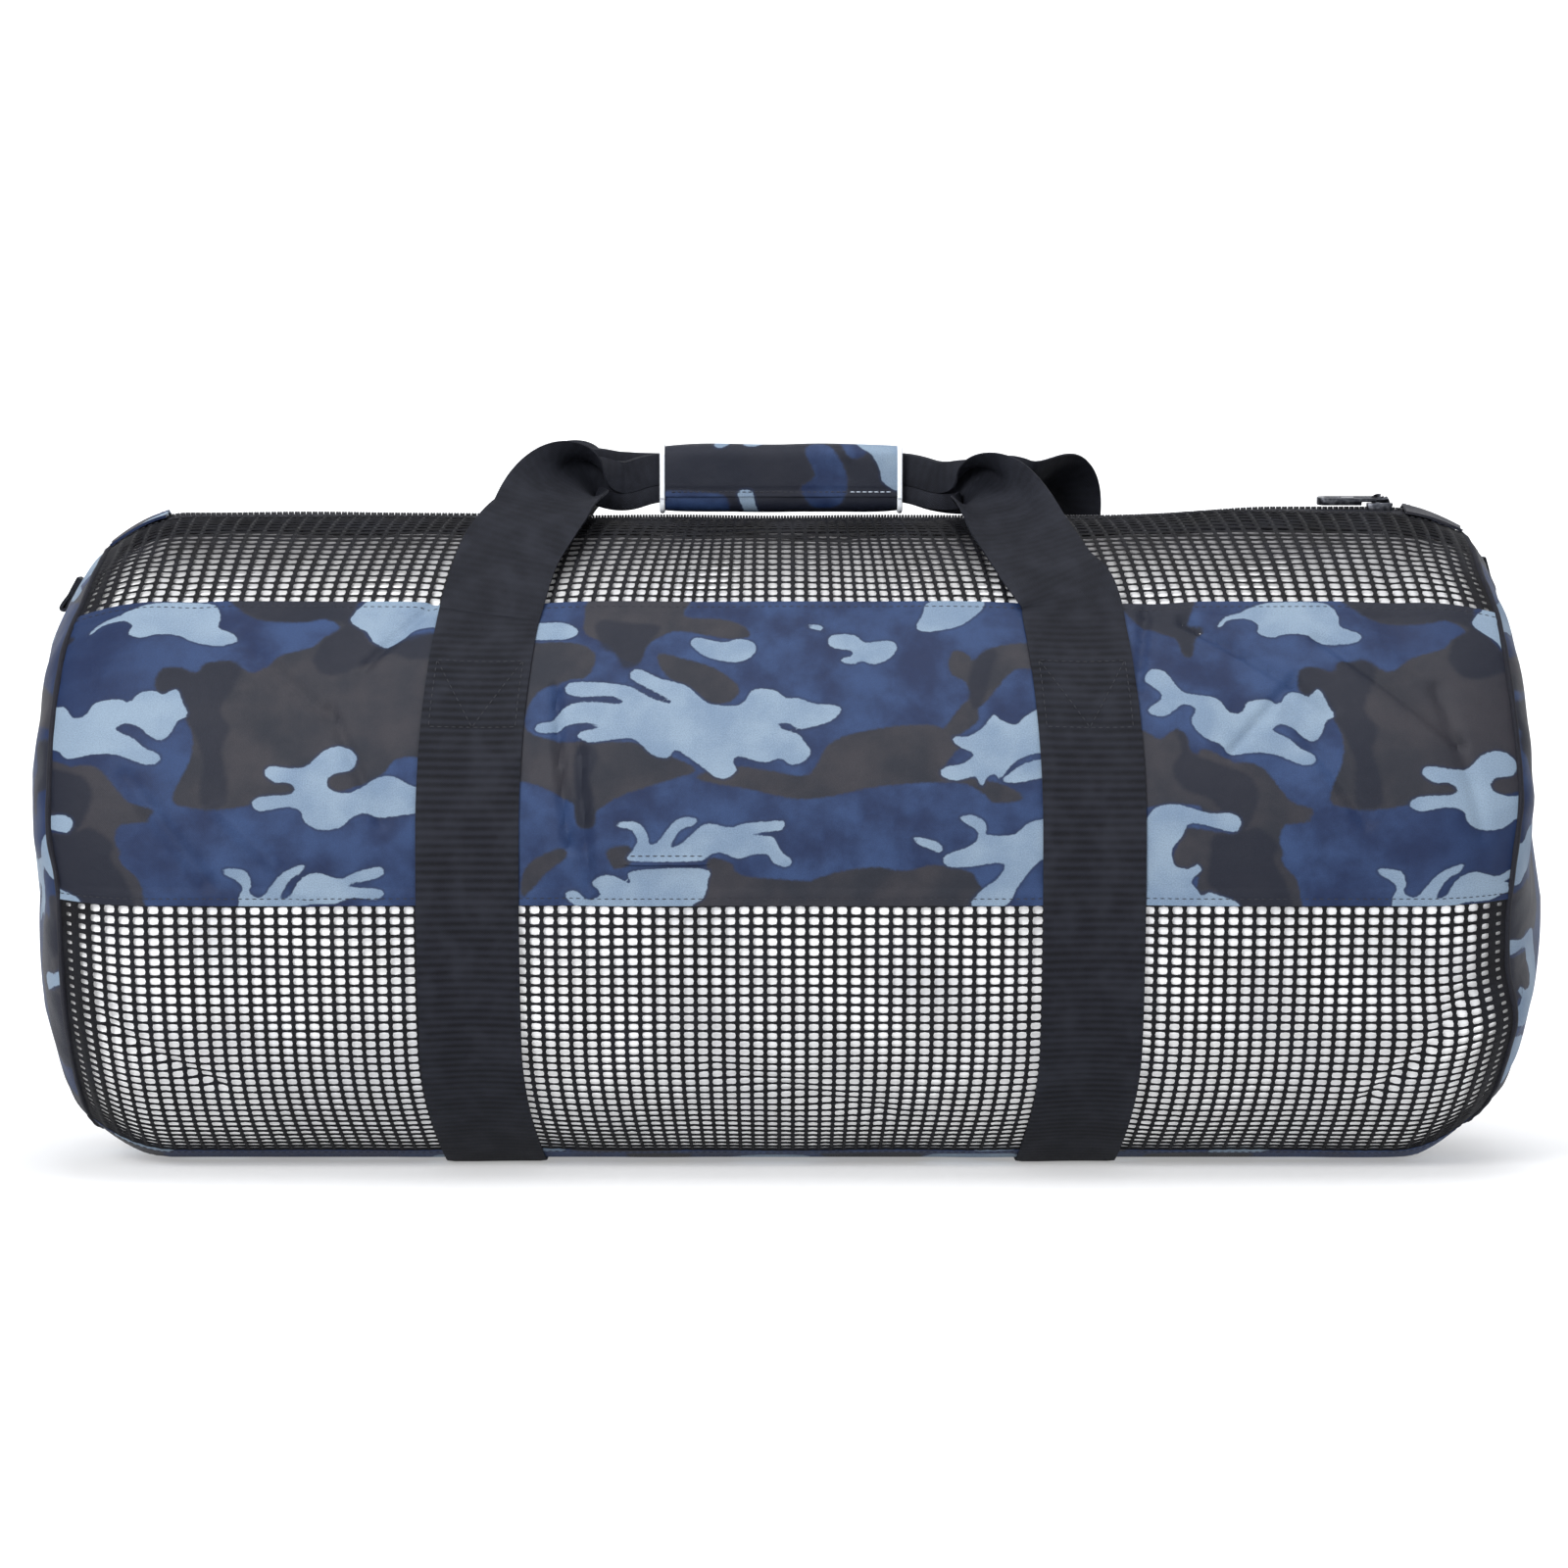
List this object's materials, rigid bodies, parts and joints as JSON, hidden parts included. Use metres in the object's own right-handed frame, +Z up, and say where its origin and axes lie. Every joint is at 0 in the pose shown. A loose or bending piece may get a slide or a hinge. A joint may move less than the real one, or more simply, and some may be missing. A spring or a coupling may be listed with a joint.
{
  "type": "barrel duffel bag for dive gear",
  "caption": "Barrel duffel bag for dive gear with net sides, camouflage band and ends, webbing straps, a wrapped grip and a zip along the top.",
  "frame": {"origin": "on the floor under the middle of the bag", "axes": "+X along the bag towards the zip slider, -Y the front, +Z up"},
  "size_m": [0.766, 0.3322, 0.3636],
  "materials": {
    "camo_fabric": "coated woven polyester in navy, charcoal and light blue camouflage",
    "mesh_net": "coarse coated net, black",
    "webbing": "ribbed woven webbing, black",
    "piping": "woven binding tape, black",
    "liner": "pale coated liner",
    "zip_tape": "woven zip tape, black",
    "zip_teeth": "moulded teeth, black",
    "zip_metal": "grey die-cast metal",
    "grip_edging": "pale stitched edge binding"
  },
  "bodies": {
    "bag": {"side_band_front": "camo_fabric", "side_band_back": "camo_fabric", "bottom_panel": "camo_fabric", "end_panel_left": "camo_fabric", "end_panel_right": "camo_fabric", "zip_end_tab_left": "camo_fabric", "zip_end_tab_right": "camo_fabric", "grip_wrap": "camo_fabric", "mesh_upper_front": "mesh_net", "mesh_upper_back": "mesh_net", "mesh_lower_front": "mesh_net", "mesh_lower_back": "mesh_net", "strap_left": "webbing", "strap_right": "webbing", "handle_front": "webbing", "handle_back": "webbing", "pull_tab_left": "webbing", "pull_tab_right": "webbing", "end_piping_left": "piping", "end_piping_right": "piping", "inner_liner": "liner", "zip_tape_front": "zip_tape", "zip_tape_back": "zip_tape", "zip_teeth": "zip_teeth", "zip_slider": "zip_metal", "grip_binding_left": "grip_edging", "grip_binding_right": "grip_edging"},
    "zip_pull": {"zip_pull": "zip_metal"}
  },
  "joints": [
    {"name": "pull_hinge", "type": "hinge", "parent": "bag", "child": "zip_pull", "pos_m": [0.2991, 0, 0.33384], "axis": [0, 1, 0], "range_deg": [0, 165]}
  ]
}
